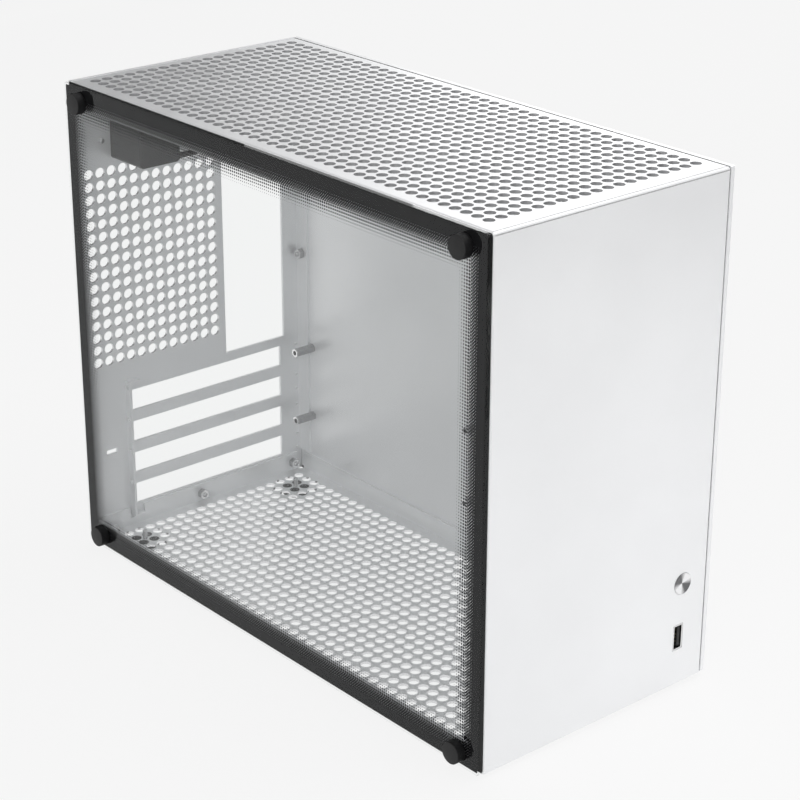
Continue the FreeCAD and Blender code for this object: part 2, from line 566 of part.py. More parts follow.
def power_inlet_body():
    """Moulded inlet: outer flange with a keyed mouth, block through the plate, wiring sleeve."""
    flange = middle_box(INLET_X, INLET_Z, INLET_FLANGE, DEPTH, DEPTH + INLET_LIP)
    flange = flange.makeFillet(INLET_FLANGE_R, [e for e in flange.Edges if abs(e.tangentAt(0).y) > 0.5])
    inner = Y1 - INLET_L
    root = V(INLET_X + INLET[0] / 2, inner + SLEEVE_AT[1], INLET_Z - INLET[1] / 2 + SLEEVE_AT[0])
    stations = [(SLEEVE_R[0], -INLET_BEVEL), (SLEEVE_R[0], 0), (SLEEVE_R[1], SLEEVE_L)]
    body = flange.fuse(inlet_block(inner, DEPTH)).fuse(faceted(root, X, stations, TUBE_SIDE_COUNT))
    half = [size / 2 for size in INLET_MOUTH]
    low = INLET_MOUTH_CUT - half[1]
    outline = [(-half[0], half[1]), (half[0], half[1]), (half[0], low)]
    outline += [(half[0] - INLET_MOUTH_CUT, -half[1]), (INLET_MOUTH_CUT - half[0], -half[1]), (-half[0], low)]
    mouth = DEPTH + INLET_LIP - INLET_MOUTH_L
    corners = [V(INLET_X + x, mouth, INLET_Z + z) for x, z in outline]
    cuts = [face(corners).extrude(Y * (INLET_MOUTH_L + PAST))]
    for x in INLET_SCREW_XS:
        cuts.append(prism(V(x, DEPTH - PAST, INLET_Z), Y, M3_R, INLET_LIP))
        cuts.append(flat_head(V(x, DEPTH + INLET_LIP, INLET_Z), -Y))
    return cut_all(body, cuts).removeSplitter()


def inlet_pins():
    root = DEPTH + INLET_LIP - INLET_MOUTH_L
    places = [(-PIN_SPREAD, -PIN_OFF), (0, PIN_OFF), (PIN_SPREAD, -PIN_OFF)]
    return [middle_box(INLET_X + x, INLET_Z + z, PIN, root, root + PIN_L) for x, z in places]


export("front_top_shell", front_top_shell())
export("floor_panel", floor_panel())
export("rear_panel", rear_panel())
export("right_side_panel", right_side_panel())
export("glass_panel", glass_panel())
for number, (y, z) in enumerate(KNOBS, 1):
    export("thumb_screw_%d" % number, thumb_screw(y, z))
export("glass_nuts", *[nut(V(X0 + SHEET, y, z), X, KNOB_NUT_R, KNOB_NUT_H, KNOB_SHANK_R) for y, z in KNOBS])
export("side_panel_nuts", *[nut(V(X1 - SHEET, y, z), -X, NUT_R, NUT_H, M3_R) for y, z in SIDE_SCREWS])
export("side_panel_screws", *[flat_screw(V(WIDTH, y, z), -X, SIDE_SCREW_L) for y, z in SIDE_SCREWS])
export("rear_panel_nuts", *[nut(V(x, Y1 - SHEET, z), -Y, NUT_R, NUT_H, M3_R) for x, z in REAR_SCREWS])
export("rear_panel_screws", *[hexagon_screw(V(x, DEPTH, z), -Y, REAR_SCREW_L) for x, z in REAR_SCREWS])
export("motherboard_standoffs", *[standoff(y, z) for y, z in STANDOFFS])
for number, (x, y) in enumerate(FEET, 1):
    export("foot_%d" % number, foot(x, y))
export("foot_screws", *[foot_screw(x, y) for x, y in FEET])
export("power_button", power_button())
export("power_switch_body", power_switch_body())
export("usb_shell", usb_shell())
export("usb_insulator", usb_insulator())
export("front_io_board", front_io_board())
export("front_io_bracket", front_io_bracket())
export("front_io_screws", *[port_screw(y, z) for y, z in PORT_SCREWS])
export("power_inlet_body", power_inlet_body())
export("inlet_pins", *inlet_pins())
INLET_FACE = DEPTH + INLET_LIP
export("inlet_screws", *[flat_screw(V(x, INLET_FACE, INLET_Z), -Y, INLET_SCREW_L) for x in INLET_SCREW_XS])
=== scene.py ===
"""Looks of the small desktop computer case: materials, full perforation, printed glass, light and camera."""
import json
import math

import bmesh
import bpy
from mathutils import Matrix, Vector


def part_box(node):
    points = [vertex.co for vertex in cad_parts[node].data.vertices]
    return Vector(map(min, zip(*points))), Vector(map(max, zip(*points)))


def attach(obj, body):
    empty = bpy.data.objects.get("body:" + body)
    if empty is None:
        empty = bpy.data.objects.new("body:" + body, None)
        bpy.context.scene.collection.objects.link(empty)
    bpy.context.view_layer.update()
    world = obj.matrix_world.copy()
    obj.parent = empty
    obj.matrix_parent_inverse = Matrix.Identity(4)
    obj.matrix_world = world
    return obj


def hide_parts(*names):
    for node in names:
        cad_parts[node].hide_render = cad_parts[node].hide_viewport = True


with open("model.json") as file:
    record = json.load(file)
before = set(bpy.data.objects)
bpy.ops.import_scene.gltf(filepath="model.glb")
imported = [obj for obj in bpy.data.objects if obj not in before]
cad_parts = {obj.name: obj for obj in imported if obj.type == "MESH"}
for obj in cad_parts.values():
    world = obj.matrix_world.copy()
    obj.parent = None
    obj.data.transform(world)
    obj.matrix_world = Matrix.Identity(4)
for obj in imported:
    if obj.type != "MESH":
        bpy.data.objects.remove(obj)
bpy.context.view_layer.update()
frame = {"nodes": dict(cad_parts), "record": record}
nodes = frame["nodes"]
SLOTS = {part["node"]: part["material_slot"] for part in frame["record"]["subparts"]}

# Sizes in millimetres, with x from the outer face of the glass, y from the front and z from the underside
MM = 0.001
X_AXIS, Y_AXIS, Z_AXIS = Vector((1, 0, 0)), Vector((0, 1, 0)), Vector((0, 0, 1))
ORIGIN, GLASS_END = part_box("glass_panel")
GLASS, DEPTH, HEIGHT = [round(length, 2) for length in (GLASS_END - ORIGIN) / MM]
SIDE_X, WIDTH = [round((corner.x - ORIGIN.x) / MM, 2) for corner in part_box("right_side_panel")]
SIDE = WIDTH - SIDE_X
SHEET = 1.5
GLASS_CORNER, CORNER_STEPS = 2.0, 6

# Making of the meshes: reach of a cutter past a face, metres between vertices that are welded, and degrees
# between faces from which an edge is crisp or is bevelled
PAST = 0.4
WELD = 1e-6
CRISP_ANGLE, BEVEL_ANGLE, BEVEL_SEGMENTS = 30.0, 40.0, 2

# Parts of a face's normal along an axis: from which the face looks that way, up to which it runs along it,
# and up to which it slants
FACING, SQUARE, SLANTED = 0.5, 0.1, 0.8

# Width of the rounded edges of the nodes that keep their CAD form, and of some pieces
SOFTENED = {
    "glass_panel": 0.3, "glass_nuts": 0.3, "power_switch_body": 0.4, "usb_shell": 0.12, "usb_insulator": 0.15,
    "front_io_bracket": 0.2, "front_io_board": 0.1, "inlet_pins": 0.3,
}
POST_EDGE, LUG_EDGE = 0.2, 0.15

# Perforated fields: middle of the first hole, and holes along the field's two axes
PITCH = 7.62
HOLE_R = 3.0
HOLE_SIDES = 24
TOP_FIELD = (13.92, 14.85), (19, 43)
FLOOR_FIELD = (19.83, 12.78), (18, 43)
REAR_FIELD = (11.78, 110.3), (12, 16)

# Lines scored along x on both sides of the top's front bend: half width, distance from the bend, and y and z
SCORE_R, SCORE_SIDES = 0.35, 4
SCORE_GAP = 1.6
SCORES = (SCORE_GAP, HEIGHT), (0, HEIGHT - SCORE_GAP)

# Hexagon screws: the top of the head is narrowed to a share of its radius over a share of its height
M3_R, M3_HEAD_R, M3_HEAD_H = 1.5, 3.0, 1.8
PORT_SCREW_R, PORT_SCREW_HEAD_R, PORT_SCREW_HEAD_H = 1.2, 2.2, 1.5
CROWN_R_SHARE, CROWN_H_SHARE = 0.82, 0.2
THREAD_PITCH, THREAD_DEPTH, THREAD_STEPS = 0.5, 0.25, 4
SCREW_SIDES = 24

# Countersunk screws, their round seats, the half width of the blocks that the seats are cut in, and the cross
FLAT_R, FLAT_H, FLAT_HOLE_R = 2.9, 1.4, 1.7
SEAT_GAP, SEAT_SIDES, SEAT_BLOCK = 0.05, 48, 4.0
INLET_LIP = 3.0
CROSS_REACH, CROSS_HALF, CROSS_DEPTH = 1.7, 0.42, 1.1
CROSS_TOP_SCALE, CROSS_FOOT_SCALE = 1.1, 0.6

# Turned and moulded pieces: profiles of radius and distance along the axis, and the reach of eased corners,
# each of which takes at most its side's length over the limit
KNOB_R, KNOB_H, KNOB_SHANK_R = 6.0, 5.2, 2.0
FOOT_PROFILE = ((1.5, 3.0), (8.5, 3.0), (8.1, 0.0), (4.2, 0.0), (4.2, 2.1), (1.5, 2.1), (1.5, 3.0))
BUTTON_PROFILE = ((0, 0.9), (5.4, 0), (6.0, 0), (6.0, 2.0), (7.0, 2.0), (7.0, 4.0), (0, 4.0))
KNOB_EASE, FOOT_EASE, BUTTON_EASE = 0.4, 0.4, 0.2
EASE_STEPS, EASE_LIMIT = 4, 2.2
TURNED_SIDES, BUTTON_SIDES = 64, 96

# Contact strips of the data port, and the lug beside the inlet as an outline of x and z
CONTACT_X, CONTACT_Y, CONTACT_Z = 141.15, (1.6, 8.4), (24.4, 26.9, 28.9, 31.4)
CONTACT_THICK, CONTACT_WIDE = 0.08, 1.0
LUG = ((54.5, 241.4), (62.9, 238.2), (60.5, 236.6), (54.5, 236.6))
LUG_Y = (314.9, 316.1)

# Print in the glass: its x, distances of the solid border from the glass's outline along y and z, cells
# inside the border, and radius in cells of the holes and then of the dots, row by row
PRINT_X = 0.4
PRINT_EDGE, PRINT_INSET = (1.2, 1.2), (6.75, 8.15)
PRINT_CELLS = (201, 160)
PRINT_HOLES = (0.08, 0.15, 0.24)
PRINT_DOTS = (0.40, 0.355, 0.29, 0.20, 0.11)
DOT_SIDES = 12

# Black bands of painted shade between sheets and side panels: distance from the panel's inner face, and place
# along its edges
SHADE_BAND_GAP = 0.02
GLASS_SHADE_X, GLASS_SHADE_EDGE, GLASS_SHADE_INSET = GLASS - SHADE_BAND_GAP, (0.3, 0.3), (4.6, 4.6)
JOINT_SHADE_X, JOINT_SHADE_EDGE, JOINT_SHADE_INSET = SIDE_X - SHADE_BAND_GAP, (0.7, 0.2), (1.7, 1.7)

# Looks: values between which noise mostly lies; the share of light that glass reflects head on, and the
# power by which it grows; and the direction in degrees of the button's painted highlight, with its middle and
# swing
NOISE_LOW, NOISE_HIGH = 0.3, 0.7
GLASS_GLOSS, GLASS_POWER = 0.025, 5.0
PAINTED_SHEEN_ANGLE, PAINTED_SHEEN_MIDDLE, PAINTED_SHEEN_SWING = 48.0, 0.5, 0.32

# Camera and studio in metres and degrees, with greys of the stage from 0 to 1
CAMERA_AT = (-0.714933, -0.856134, 0.596776)
CAMERA_AZIMUTH, CAMERA_ELEVATION, CAMERA_ROLL = -40.6015, 22.853, 0.148
LENS, SENSOR = 99.759, 36.0
SIGHT = 200.0
BACKDROP = 0.96
FLOOR_REACH, FLOOR_GREY, FLOOR_GLOW = 40.0, 0.8, 0.9
CARD_X, CARD_Y, CARD_Z, CARD_GREY = (-1.0, 0.95), 1.4, (0.1, 1.2), 0.15
FLOOR_CARD_X, FLOOR_CARD_Y, FLOOR_CARD_Z, FLOOR_CARD_GREY = (-0.5, 1.4), (-1.7, -0.5), 0.002, 0.54

# Light of the world, and lamps: place, target, size, watts, and whether surfaces mirror the lamp
WORLD_LIGHT = 0.28
LAMPS = {
    "key": ((0.6, -0.4, 1.9), (0, 0, 0.15), (1.6, 1.2), 18, True),
    "front": ((0.15, -0.75, 0.12), (0, 0, 0.05), (1.0, 0.15), 2.6, False),
    "fill": ((-1.6, -0.8, 1.0), (0, 0, 0.15), (1.2, 1.2), 11, True),
    "back": ((1.9, 1.4, 1.0), (0, -0.15, 0.28), (1.0, 0.6), 4, True),
}


def at(x, y, z):
    """Point in the frame of a place in millimetres."""
    return ORIGIN + Vector((x, y, z)) * MM


def row(first, count):
    """Middles of a row of holes."""
    return [first + n * PITCH for n in range(count)]


def angles(sides):
    """Even angles round a circle."""
    return [2 * math.pi * n / sides for n in range(sides)]


def main_axis(axis):
    """Number of the coordinate that an axis runs along."""
    return max(range(3), key=lambda n: abs(axis[n]))


class Shader:
    """Principled material with helpers for the procedural maps that vary over the surface."""

    def __init__(self, name, colour, roughness, metallic=0.0, **settings):
        self.material = bpy.data.materials.new(name)
        self.material.use_nodes = True
        self.tree = self.material.node_tree
        self.shader = self.tree.nodes["Principled BSDF"]
        self.set("Base Color", (*colour, 1.0))
        self.set("Roughness", roughness)
        self.set("Metallic", metallic)
        for key, value in settings.items():
            self.set(key.replace("_", " "), value)
        self.place = self.add("ShaderNodeTexCoord").outputs["Object"]

    def add(self, kind, **settings):
        """New node of the material's tree."""
        node = self.tree.nodes.new(kind)
        for key, value in settings.items():
            setattr(node, key, value)
        return node

    def set(self, socket, value):
        self.shader.inputs[socket].default_value = value

    def link(self, source, target):
        self.tree.links.new(source, target)

    def noise(self, size, detail=2.0, stretch=(1, 1, 1)):
        """Noise whose features are about size millimetres across."""
        node = self.add("ShaderNodeTexNoise")
        node.inputs["Scale"].default_value = 1 / (size * MM)
        node.inputs["Detail"].default_value = detail
        mapping = self.add("ShaderNodeMapping")
        mapping.inputs["Scale"].default_value = stretch
        self.link(self.place, mapping.inputs["Vector"])
        self.link(mapping.outputs["Vector"], node.inputs["Vector"])
        return node.outputs["Fac"]

    def spread(self, fac, low, high):
        """Noise stretched to run from low to high."""
        node = self.add("ShaderNodeMapRange")
        node.inputs["From Min"].default_value = NOISE_LOW
        node.inputs["From Max"].default_value = NOISE_HIGH
        node.inputs["To Min"].default_value = low
        node.inputs["To Max"].default_value = high
        self.link(fac, node.inputs["Value"])
        return node.outputs["Result"]

    def vary_roughness(self, fac, low, high):
        self.link(self.spread(fac, low, high), self.shader.inputs["Roughness"])
        return self

    def vary_colour(self, fac, first, second):
        ramp = self.add("ShaderNodeValToRGB")
        ramp.color_ramp.elements[0].position = NOISE_LOW
        ramp.color_ramp.elements[1].position = NOISE_HIGH
        ramp.color_ramp.elements[0].color = (*first, 1.0)
        ramp.color_ramp.elements[1].color = (*second, 1.0)
        self.link(fac, ramp.inputs["Fac"])
        self.link(ramp.outputs["Color"], self.shader.inputs["Base Color"])
        return self

    def bump(self, height, strength, distance):
        """Fine relief, with the distance in millimetres."""
        node = self.add("ShaderNodeBump")
        node.inputs["Strength"].default_value = strength
        node.inputs["Distance"].default_value = distance * MM
        self.link(height, node.inputs["Height"])
        self.link(node.outputs["Normal"], self.shader.inputs["Normal"])
        return self


def silver_sheet():
    m = Shader("silver_sheet", (0.80, 0.805, 0.815), 0.36, 0.5)
    m.vary_colour(m.noise(60.0), (0.785, 0.79, 0.80), (0.815, 0.82, 0.83))
    m.vary_roughness(m.noise(25.0, 4.0), 0.33, 0.41)
    return m.bump(m.noise(0.35, 3.0), 0.12, 0.02).material


def clear_glass():
    """Clear pane: see-through, with a reflection that grows towards grazing angles."""
    m = Shader("clear_glass", (0.95, 0.96, 0.96), 0.02, 1.0)
    m.vary_roughness(m.noise(40.0), 0.012, 0.03)
    weight = m.add("ShaderNodeLayerWeight")
    weight.inputs["Blend"].default_value = 0.5
    power = m.add("ShaderNodeMath", operation="POWER")
    power.inputs[1].default_value = GLASS_POWER
    m.link(weight.outputs["Facing"], power.inputs[0])
    gloss = m.add("ShaderNodeMath", operation="MULTIPLY_ADD")
    gloss.inputs[1].default_value = 1 - GLASS_GLOSS
    gloss.inputs[2].default_value = GLASS_GLOSS
    m.link(power.outputs["Value"], gloss.inputs[0])
    clear = m.add("ShaderNodeBsdfTransparent")
    clear.inputs["Color"].default_value = (0.985, 0.99, 0.988, 1.0)
    mix = m.add("ShaderNodeMixShader")
    m.link(gloss.outputs["Value"], mix.inputs[0])
    m.link(clear.outputs["BSDF"], mix.inputs[1])
    m.link(m.shader.outputs["BSDF"], mix.inputs[2])
    m.link(mix.outputs["Shader"], m.tree.nodes["Material Output"].inputs["Surface"])
    return m.material


def print_ink():
    m = Shader("print_ink", (0.012, 0.012, 0.013), 0.5, Specular_IOR_Level=0.0)
    m.vary_colour(m.noise(8.0), (0.011, 0.011, 0.012), (0.015, 0.015, 0.016))
    return m.vary_roughness(m.noise(3.0), 0.45, 0.6).material


def black_metal():
    m = Shader("black_metal", (0.009, 0.009, 0.0095), 0.4, Specular_IOR_Level=0.25)
    m.vary_colour(m.noise(5.0), (0.007, 0.007, 0.0075), (0.011, 0.011, 0.0115))
    m.vary_roughness(m.noise(1.2, 4.0), 0.34, 0.46)
    return m.bump(m.noise(0.2), 0.1, 0.02).material


def matt_black():
    m = Shader("matt_black", (0.006, 0.006, 0.0065), 0.6, Specular_IOR_Level=0.15)
    m.vary_colour(m.noise(3.0), (0.005, 0.005, 0.0055), (0.008, 0.008, 0.0085))
    return m.vary_roughness(m.noise(1.0, 3.0), 0.5, 0.7).material


def black_rubber():
    m = Shader("black_rubber", (0.02, 0.02, 0.02), 0.75)
    m.vary_colour(m.noise(4.0, 4.0), (0.016, 0.016, 0.016), (0.028, 0.028, 0.028))
    m.vary_roughness(m.noise(2.0), 0.68, 0.85)
    return m.bump(m.noise(0.4, 4.0), 0.3, 0.05).material


def zinc_steel():
    m = Shader("zinc_steel", (0.38, 0.38, 0.39), 0.34, 1.0)
    m.vary_colour(m.noise(1.5, 4.0), (0.33, 0.33, 0.345), (0.43, 0.43, 0.43))
    m.vary_roughness(m.noise(0.8, 3.0), 0.26, 0.42)
    return m.bump(m.noise(0.25), 0.15, 0.02).material


def bright_steel():
    m = Shader("bright_steel", (0.82, 0.82, 0.82), 0.2, 1.0)
    m.vary_colour(m.noise(3.0), (0.80, 0.80, 0.80), (0.86, 0.86, 0.86))
    return m.vary_roughness(m.noise(0.6, 3.0), 0.16, 0.26).material


def spun_metal():
    """Turned face: fine rings round the button's axis, with a painted highlight: the colour is bright in two
    opposite sectors and dark between them.
    """
    m = Shader("spun_metal", (0.62, 0.62, 0.63), 0.24, 1.0, Anisotropic=0.85)
    low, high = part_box("power_button")
    offset = m.add("ShaderNodeVectorMath", operation="SUBTRACT")
    offset.inputs[1].default_value = (low + high) / 2
    m.link(m.place, offset.inputs[0])
    parts = m.add("ShaderNodeSeparateXYZ")
    m.link(offset.outputs["Vector"], parts.inputs["Vector"])
    angle = m.add("ShaderNodeMath", operation="ARCTAN2")
    m.link(parts.outputs["Z"], angle.inputs[0])
    m.link(parts.outputs["X"], angle.inputs[1])
    turn = m.add("ShaderNodeMath", operation="MULTIPLY_ADD")
    turn.inputs[1].default_value = 2.0
    turn.inputs[2].default_value = -2 * math.radians(PAINTED_SHEEN_ANGLE)
    m.link(angle.outputs["Value"], turn.inputs[0])
    painted_sheen_wave = m.add("ShaderNodeMath", operation="COSINE")
    m.link(turn.outputs["Value"], painted_sheen_wave.inputs[0])
    share = m.add("ShaderNodeMath", operation="MULTIPLY_ADD")
    share.inputs[1].default_value = PAINTED_SHEEN_SWING
    share.inputs[2].default_value = PAINTED_SHEEN_MIDDLE
    m.link(painted_sheen_wave.outputs["Value"], share.inputs[0])
    # Painted highlight: the base colour runs from dark to bright with the angle round the button's axis
    m.vary_colour(share.outputs["Value"], (0.16, 0.16, 0.165), (0.92, 0.92, 0.93))
    m.vary_roughness(m.noise(0.5, 2.0), 0.2, 0.28)
    tangent = m.add("ShaderNodeTangent", direction_type="RADIAL", axis="Y")
    m.link(tangent.outputs["Tangent"], m.shader.inputs["Tangent"])
    return m.material


def bare_lit_edge():
    """Bare punched edge of a sheet, brighter and shinier than the sheet: partly bare metal, partly painted
    light that stands in for light from below.
    """
    m = Shader("bare_lit_edge", (0.72, 0.72, 0.73), 0.25, 1.0)
    m.vary_colour(m.noise(1.0, 3.0, (1, 1, 0.3)), (0.67, 0.67, 0.68), (0.77, 0.77, 0.78))
    return m.vary_roughness(m.noise(0.6, 3.0), 0.2, 0.3).material


def shaded_edge():
    """Darker copy of the punched edge: painted shade in the walls of the top's holes and along its scored
    lines.
    """
    m = Shader("shaded_edge", (0.45, 0.45, 0.46), 0.5, 0.5)
    m.vary_colour(m.noise(1.0, 3.0, (1, 1, 0.3)), (0.40, 0.40, 0.41), (0.50, 0.50, 0.51))
    return m.vary_roughness(m.noise(0.6, 3.0), 0.42, 0.6).material


def black_plastic():
    m = Shader("black_plastic", (0.016, 0.016, 0.0165), 0.5, Specular_IOR_Level=0.35)
    m.vary_colour(m.noise(6.0), (0.013, 0.013, 0.0135), (0.019, 0.019, 0.0195))
    m.vary_roughness(m.noise(2.0), 0.45, 0.58)
    return m.bump(m.noise(0.3, 3.0), 0.2, 0.03).material


def circuit_board():
    m = Shader("circuit_board", (0.015, 0.05, 0.03), 0.35)
    m.vary_colour(m.noise(1.0, 3.0, (1, 0.1, 1)), (0.012, 0.04, 0.024), (0.02, 0.065, 0.04))
    return m.vary_roughness(m.noise(0.8), 0.3, 0.42).material


def brass():
    m = Shader("brass", (0.72, 0.62, 0.4), 0.28, 1.0)
    m.vary_colour(m.noise(1.5, 3.0), (0.68, 0.58, 0.36), (0.78, 0.68, 0.46))
    return m.vary_roughness(m.noise(0.6), 0.22, 0.34).material


MATERIALS = {
    "silver_sheet": silver_sheet(),
    "glass": clear_glass(),
    "black_metal": black_metal(),
    "black_rubber": black_rubber(),
    "zinc_steel": zinc_steel(),
    "spun_metal": spun_metal(),
    "bright_steel": bright_steel(),
    "black_plastic": black_plastic(),
    "circuit_board": circuit_board(),
    "brass": brass(),
}
# The print's black, also used for the bands of painted shade
INK_AND_SHADE = print_ink()
MATT = matt_black()
BARE_LIT_EDGE = bare_lit_edge()
SHADED_EDGE = shaded_edge()


def shade(mesh):
    """Smooth faces, with sharp edges kept crisp."""
    bm = bmesh.new()
    bm.from_mesh(mesh)
    limit = math.radians(CRISP_ANGLE)
    for edge in bm.edges:
        edge.smooth = len(edge.link_faces) == 2 and edge.calc_face_angle(math.pi) < limit
    for polygon in bm.faces:
        polygon.smooth = True
    bm.to_mesh(mesh)
    bm.free()


def new_piece(name, mesh, material, replaced=(), body="case"):
    """Object of the scene that rides a body and may take the place of CAD nodes."""
    piece = bpy.data.objects.new(name, mesh)
    bpy.context.scene.collection.objects.link(piece)
    mesh.materials.clear()
    mesh.materials.append(material)
    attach(piece, body)
    if replaced:
        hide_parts(*replaced)
    return piece


def stand_for(node, suffix, mesh, body="case"):
    """Piece that takes the place of a CAD node, in the node's own material."""
    slot = SLOTS[node]
    return new_piece(node + suffix, mesh, MATERIALS[slot], [node], body)


def paint(mesh, material, chosen):
    """Second material on the faces that are chosen."""
    mesh.materials.append(material)
    for polygon in mesh.polygons:
        polygon.material_index = int(chosen(polygon))


def even_normals(piece):
    """Keeps flat faces flat next to rounded folds."""
    modifier = piece.modifiers.new("normals", "WEIGHTED_NORMAL")
    modifier.weight = 100
    modifier.keep_sharp = True


def soften(item, width):
    """Small rounded edges."""
    merge = item.modifiers.new("weld", "WELD")
    merge.merge_threshold = WELD
    bevel = item.modifiers.new("arris", "BEVEL")
    bevel.width = width * MM
    bevel.segments = BEVEL_SEGMENTS
    bevel.limit_method = "ANGLE"
    bevel.angle_limit = math.radians(BEVEL_ANGLE)


def ring(centre, axis, radius, sides):
    """Points round an axis, at one radius or at a list of radii."""
    first = Z_AXIS if abs(axis.z) < FACING else Y_AXIS
    second = axis.cross(first)
    radii = radius if isinstance(radius, list) else [radius] * sides
    spokes = [first * math.cos(a) + second * math.sin(a) for a in angles(sides)]
    return [centre + spoke * (r * MM) for spoke, r in zip(spokes, radii)]


def turned(bm, centre, axis, profile, sides):
    """Closed solid of revolution through (radius, distance along the axis) pairs in millimetres.

    A profile that comes back to its start makes a ring, and any other is closed by flat ends.
    """
    loop = profile[0] == profile[-1]
    rings = []
    for radius, along in profile[1:] if loop else profile:
        middle = centre + axis * (along * MM)
        if radius:
            rings.append([bm.verts.new(p) for p in ring(middle, axis, radius, sides)])
        else:
            rings.append([bm.verts.new(middle)] * sides)
    for low, high in zip(rings if loop else rings[:-1], rings[1:] + rings[:1]):
        for n in range(sides):
            corners = [low[n - 1], low[n], high[n], high[n - 1]]
            bm.faces.new(list(dict.fromkeys(corners)))
    if not loop:
        for end in (rings[0], rings[-1]):
            if len(set(end)) > 1:
                bm.faces.new(end)


def loft(bm, first, second):
    """Closed solid between two rings of points."""
    rings = [[bm.verts.new(p) for p in points] for points in (first, second)]
    for n in range(len(first)):
        bm.faces.new([rings[0][n - 1], rings[0][n], rings[1][n], rings[1][n - 1]])
    for end in rings:
        bm.faces.new(end)


def block(bm, low, high):
    """Box between two corners."""
    corners = [Vector((x, y, z)) for x in (low.x, high.x) for y in (low.y, high.y) for z in (low.z, high.z)]
    verts = [bm.verts.new(c) for c in corners]
    for loop in ((0, 1, 3, 2), (4, 6, 7, 5), (0, 4, 5, 1), (2, 3, 7, 6), (0, 2, 6, 4), (1, 5, 7, 3)):
        bm.faces.new([verts[n] for n in loop])


def as_mesh(name, bm):
    """Mesh with the faces of a bmesh, which is freed."""
    mesh = bpy.data.meshes.new(name)
    bm.to_mesh(mesh)
    bm.free()
    return mesh


def finished(name, bm):
    """Shaded mesh of closed solids."""
    bmesh.ops.recalc_face_normals(bm, faces=bm.faces)
    mesh = as_mesh(name, bm)
    shade(mesh)
    return mesh


def weld(bm):
    """Joins vertices that lie in one place."""
    bmesh.ops.remove_doubles(bm, verts=bm.verts, dist=WELD)


def welded(node):
    """CAD node's faces with their vertices joined."""
    bm = bmesh.new()
    bm.from_mesh(nodes[node].data)
    weld(bm)
    return bm


def node_copy(node):
    """Welded copy of a CAD node's mesh."""
    return as_mesh(node + "_full", welded(node))


def eased(profile, radius):
    """Profile with its corners rounded."""
    points = [Vector(p) for p in profile]
    result = [tuple(profile[0])]
    for before, corner, after in zip(points, points[1:], points[2:]):
        back, on = before - corner, after - corner
        reach = min(radius, back.length / EASE_LIMIT, on.length / EASE_LIMIT)
        start, end = corner + back.normalized() * reach, corner + on.normalized() * reach
        for n in range(EASE_STEPS + 1):
            t = n / EASE_STEPS
            point = start * (1 - t) ** 2 + corner * 2 * t * (1 - t) + end * t ** 2
            result.append(tuple(point))
    return result + [tuple(profile[-1])]


def combined(mesh, tool_mesh, operation):
    """Mesh joined with the tool's solids, or with them taken away."""
    piece = bpy.data.objects.new("work_piece", mesh)
    tool = bpy.data.objects.new("tool", tool_mesh)
    for item in (piece, tool):
        bpy.context.scene.collection.objects.link(item)
    modifier = piece.modifiers.new("combine", "BOOLEAN")
    modifier.operation = operation
    modifier.solver = "MANIFOLD"
    modifier.object = tool
    depsgraph = bpy.context.evaluated_depsgraph_get()
    result = bpy.data.meshes.new_from_object(piece.evaluated_get(depsgraph))
    for item in (piece, tool):
        bpy.data.objects.remove(item)
    return result


def nearest(mesh, along, value):
    """Coordinate of the mesh's own vertices that is closest to the given one."""
    return min((v.co[along] for v in mesh.vertices), key=lambda c: abs(c - value))


def hole_cutters(field, axis, place, scores):
    """Round bars through all holes of a field, and thin bars along the scored lines."""
    (first, second), (columns, rows) = field
    bm = bmesh.new()
    radius = HOLE_R / math.cos(math.pi / HOLE_SIDES)
    for a in row(first, columns):
        for b in row(second, rows):
            start = place(a, b) - axis * (PAST * MM)
            turned(bm, start, axis, [(radius, 0), (radius, SHEET + 2 * PAST)], HOLE_SIDES)
    for y, z in scores:
        turned(bm, at(GLASS - PAST, y, z), X_AXIS, [(SCORE_R, 0), (SCORE_R, WIDTH - GLASS)], SCORE_SIDES)
    return bm


def perforated(node, field, axis, place, edge, scores=()):
    """CAD sheet whose coarse openings give way to all the round holes of the real grid.

    place turns the two coordinates of a hole's middle into its point on the near face of the sheet.
    Cut metal, in the holes and along the scored lines, has the edge material: the darker edge paints shade
    into them, the brighter edge paints light.
    """
    (first, second), (columns, rows) = field
    mesh = node_copy(node)
    along = main_axis(axis)
    low = place(first - PITCH / 2, second - PITCH / 2)
    high = place(first + (columns - 0.5) * PITCH, second + (rows - 0.5) * PITCH)
    low[along] = nearest(mesh, along, low[along])
    high[along] = nearest(mesh, along, high[along] + SHEET * MM)
    bm = bmesh.new()
    block(bm, low, high)
    whole = combined(mesh, finished(node + "_plain", bm), "UNION")
    cutters = finished(node + "_holes", hole_cutters(field, axis, place, scores))
    result = combined(whole, cutters, "DIFFERENCE")
    shade(result)
    even_normals(stand_for(node, "_full", result))
    lines = [at(0, y, z) for y, z in scores]

    def is_cut(polygon):
        """True for walls of holes, and for the slanted faces of scored lines."""
        middle, normal = polygon.center, polygon.normal
        in_hole = abs(normal[along]) < SQUARE and all(low[n] < middle[n] < high[n] for n in range(3))
        slanted = max(abs(normal.y), abs(normal.z)) < SLANTED
        gaps = [max(abs(middle.y - line.y), abs(middle.z - line.z)) for line in lines]
        return in_hole or slanted and any(gap < SCORE_R * MM for gap in gaps)

    paint(result, edge, is_cut)


def outline(inset):
    """Points of the glass's outline, moved inwards along y and z."""
    reach = [GLASS_CORNER - i for i in inset]
    middles = (
        (DEPTH - GLASS_CORNER, HEIGHT - GLASS_CORNER, 0), (GLASS_CORNER, HEIGHT - GLASS_CORNER, 90),
        (GLASS_CORNER, GLASS_CORNER, 180), (DEPTH - GLASS_CORNER, GLASS_CORNER, 270),
    )
    points = []
    for y, z, start in middles:
        for n in range(CORNER_STEPS + 1):
            a = math.radians(start + 90 * n / CORNER_STEPS)
            points.append((y + reach[0] * math.cos(a), z + reach[1] * math.sin(a)))
    return points


